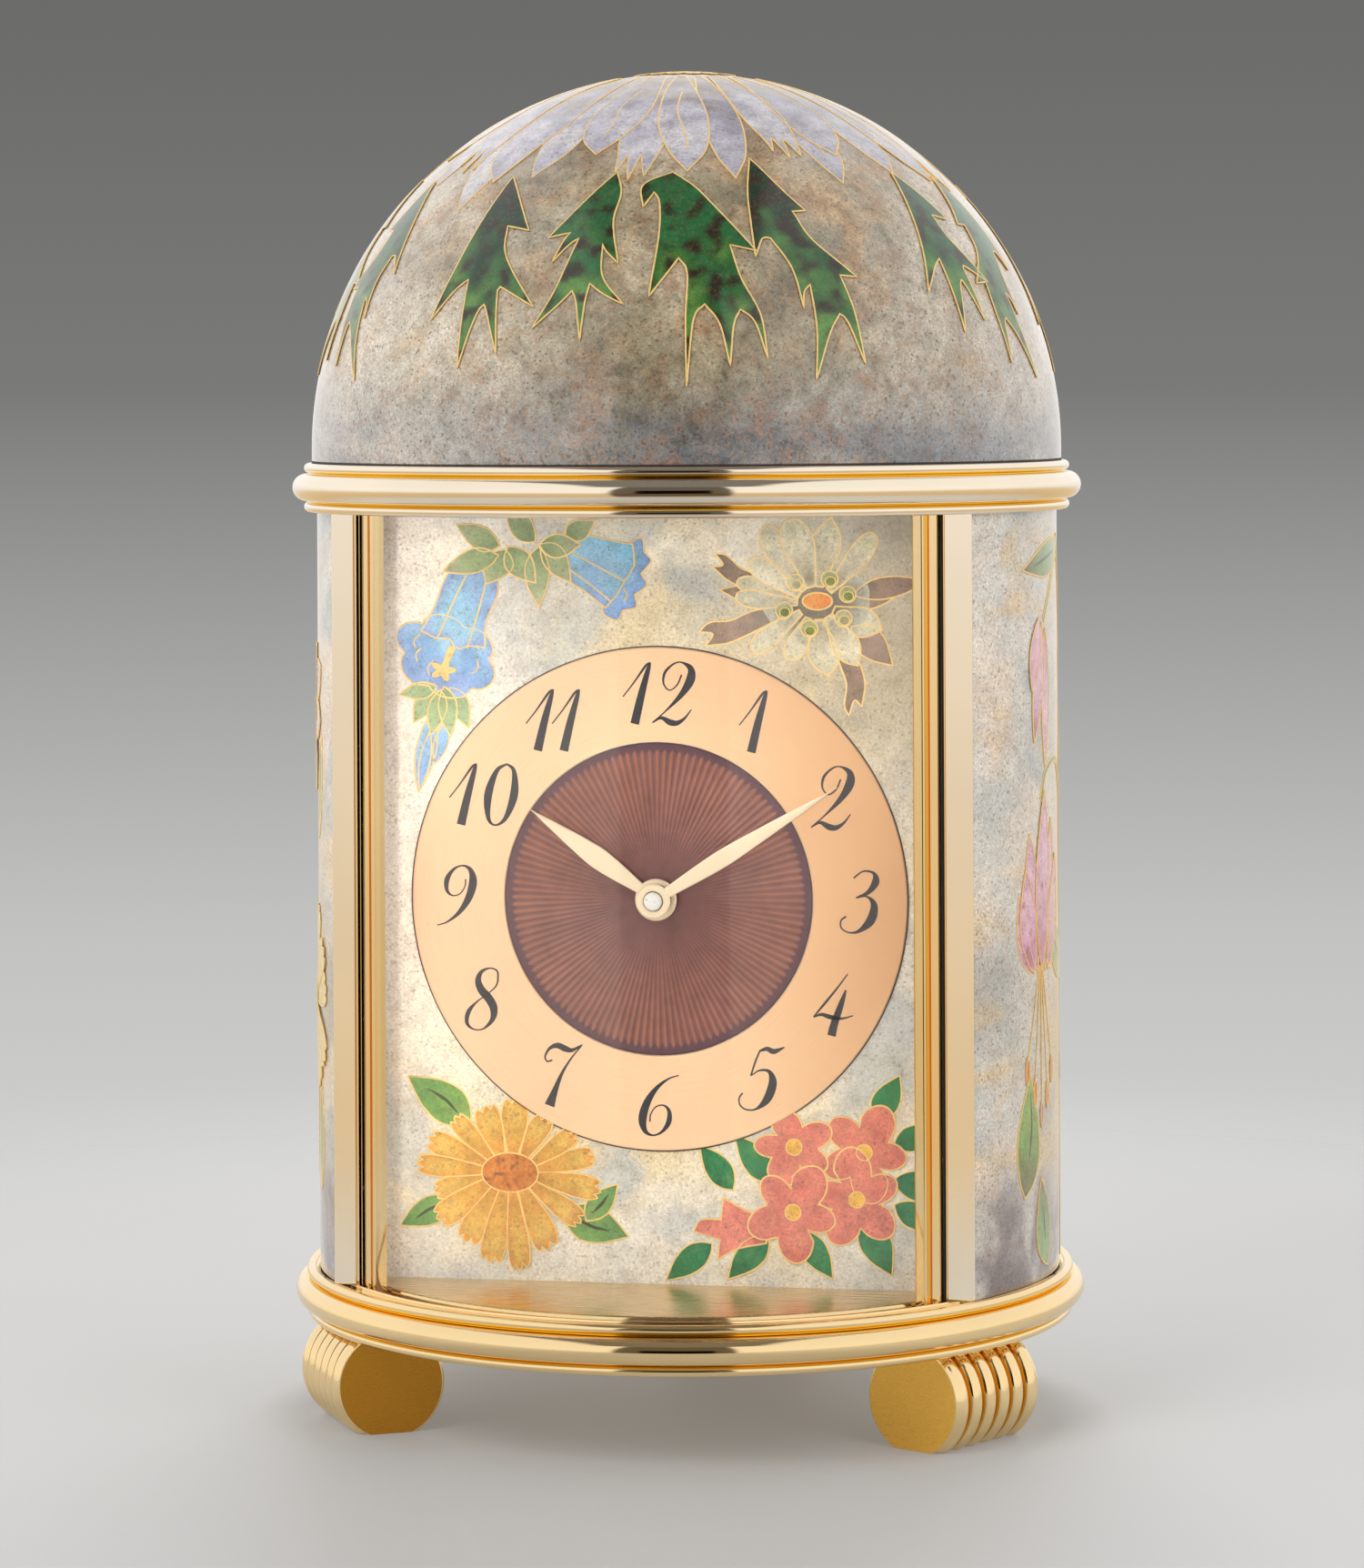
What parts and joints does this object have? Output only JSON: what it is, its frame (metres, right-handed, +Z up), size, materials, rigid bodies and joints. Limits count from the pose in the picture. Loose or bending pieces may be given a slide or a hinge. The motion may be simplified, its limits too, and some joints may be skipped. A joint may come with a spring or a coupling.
{
  "type": "dome table clock",
  "caption": "Dome-topped cylindrical table clock with an enamelled case, curved sliding glass, reeded feet and a motor-wound mechanical movement.",
  "frame": {"origin": "on the case's vertical axis, on the plane the feet stand on", "axes": "+Z up, the dial faces -Y, +X to the right of someone facing the dial"},
  "size_m": [0.1278, 0.1278, 0.215],
  "materials": {
    "polished_gilt": "polished",
    "chapter_gilt": "satin",
    "enamel": "glossy vitreous enamel",
    "brown_enamel": "translucent brown enamel over engine turning",
    "glass": "clear",
    "brass": "satin",
    "steel": "satin",
    "blued_steel": "blued",
    "black_plastic": "matte",
    "cell_jacket": "satin",
    "red_wire": "satin"
  },
  "bodies": {
    "case": {"base_ring": "polished_gilt", "upper_ring": "polished_gilt", "dome": "enamel", "side_panel_right": "enamel", "side_panel_left": "enamel", "front_post_right": "polished_gilt", "front_post_left": "polished_gilt", "rear_post_right": "polished_gilt", "rear_post_left": "polished_gilt", "door_pin_lower": "steel", "door_pin_upper": "steel", "foot_front_right": "polished_gilt", "foot_front_left": "polished_gilt", "foot_rear": "polished_gilt", "dial_plate": "enamel", "chapter_ring": "chapter_gilt", "dial_centre": "brown_enamel", "dial_rail_right": "brass", "dial_rail_left": "brass", "movement_front_plate": "brass", "movement_back_plate": "brass", "pillar_1": "brass", "pillar_2": "brass", "pillar_3": "brass", "pillar_screw_1": "blued_steel", "pillar_screw_2": "blued_steel", "pillar_screw_3": "blued_steel", "balance_cock": "brass", "winding_motor": "steel", "motor_bracket": "steel", "battery_holder": "black_plastic", "battery": "cell_jacket", "wire_positive": "red_wire", "wire_negative": "black_plastic"},
    "glass_leaf": {"glass_pane": "glass", "glass_stile_right": "polished_gilt", "glass_stile_left": "polished_gilt"},
    "door": {"rear_door": "enamel", "rear_door_knob": "polished_gilt"},
    "minute": {"centre_wheel": "brass", "cannon_pinion": "steel", "minute_hand": "polished_gilt", "hand_cap": "steel"},
    "hour": {"hour_wheel": "brass", "hour_hand": "polished_gilt"},
    "minute_work": {"minute_wheel": "brass"},
    "setting": {"setting_arbor": "steel", "setting_knob": "polished_gilt"},
    "spring_barrel": {"barrel": "brass", "barrel_cover": "brass", "mainspring": "steel"},
    "winder": {"barrel_arbor": "steel", "ratchet_wheel": "steel"},
    "motor_shaft": {"motor_pinion": "steel"},
    "third": {"third_wheel": "brass"},
    "fourth": {"fourth_wheel": "brass"},
    "escape": {"escape_wheel": "steel"},
    "pallet": {"pallet_fork": "steel"},
    "balance": {"balance_wheel": "brass", "hairspring": "blued_steel"}
  },
  "joints": [
    {"name": "glass_leaf_turn", "type": "hinge", "parent": "case", "child": "glass_leaf", "pos_m": [0, 0, 0.0836], "axis": [0, 0, 1], "range_deg": [0, 104]},
    {"name": "rear_door_swing", "type": "hinge", "parent": "case", "child": "door", "pos_m": [0.03067, 0.05035, 0.0836], "axis": [0, 0, -1], "range_deg": [0, 100]},
    {"name": "minute_turn", "type": "hinge", "parent": "case", "child": "minute", "pos_m": [0, 0, 0.0836], "axis": [0, 1, 0], "continuous": true},
    {"name": "hour_turn", "type": "hinge", "parent": "case", "child": "hour", "pos_m": [0, 0, 0.0836], "axis": [0, 1, 0], "continuous": true},
    {"name": "minute_wheel_turn", "type": "hinge", "parent": "case", "child": "minute_work", "pos_m": [0.006, 0, 0.07321], "axis": [0, 1, 0], "continuous": true},
    {"name": "setting_turn", "type": "hinge", "parent": "case", "child": "setting", "pos_m": [0.01639, 0, 0.06721], "axis": [0, 1, 0], "continuous": true},
    {"name": "barrel_turn", "type": "hinge", "parent": "case", "child": "spring_barrel", "pos_m": [-0.01491, 0, 0.07316], "axis": [0, 1, 0], "continuous": true},
    {"name": "third_turn", "type": "hinge", "parent": "case", "child": "third", "pos_m": [-0.0084, 0, 0.09815], "axis": [0, 1, 0], "continuous": true},
    {"name": "fourth_turn", "type": "hinge", "parent": "case", "child": "fourth", "pos_m": [0.00621, 0, 0.10073], "axis": [0, 1, 0], "continuous": true},
    {"name": "escape_turn", "type": "hinge", "parent": "case", "child": "escape", "pos_m": [0.01856, 0, 0.0936], "axis": [0, 1, 0], "continuous": true},
    {"name": "winding_turn", "type": "hinge", "parent": "case", "child": "winder", "pos_m": [-0.01491, 0, 0.07316], "axis": [0, 1, 0], "continuous": true},
    {"name": "motor_turn", "type": "hinge", "parent": "case", "child": "motor_shaft", "pos_m": [-0.01101, 0, 0.06245], "axis": [0, 1, 0], "continuous": true},
    {"name": "pallet_swing", "type": "hinge", "parent": "case", "child": "pallet", "pos_m": [0.02191, 0, 0.0878], "axis": [0, 1, 0], "range_deg": [-4, 4]},
    {"name": "balance_swing", "type": "hinge", "parent": "case", "child": "balance", "pos_m": [0.02038, 0, 0.07913], "axis": [0, 1, 0], "range_deg": [-135, 135], "deforming": ["hairspring"]}
  ],
  "couplings": [
    {"joint": "hour_turn", "follows": "minute_turn", "ratio": 0.083333},
    {"joint": "minute_wheel_turn", "follows": "minute_turn", "ratio": -0.33333},
    {"joint": "setting_turn", "follows": "minute_turn", "ratio": 1},
    {"joint": "barrel_turn", "follows": "minute_turn", "ratio": -0.16667},
    {"joint": "third_turn", "follows": "minute_turn", "ratio": -6},
    {"joint": "fourth_turn", "follows": "minute_turn", "ratio": 33.75},
    {"joint": "escape_turn", "follows": "minute_turn", "ratio": -241.07},
    {"joint": "motor_turn", "follows": "winding_turn", "ratio": -3.75}
  ]
}
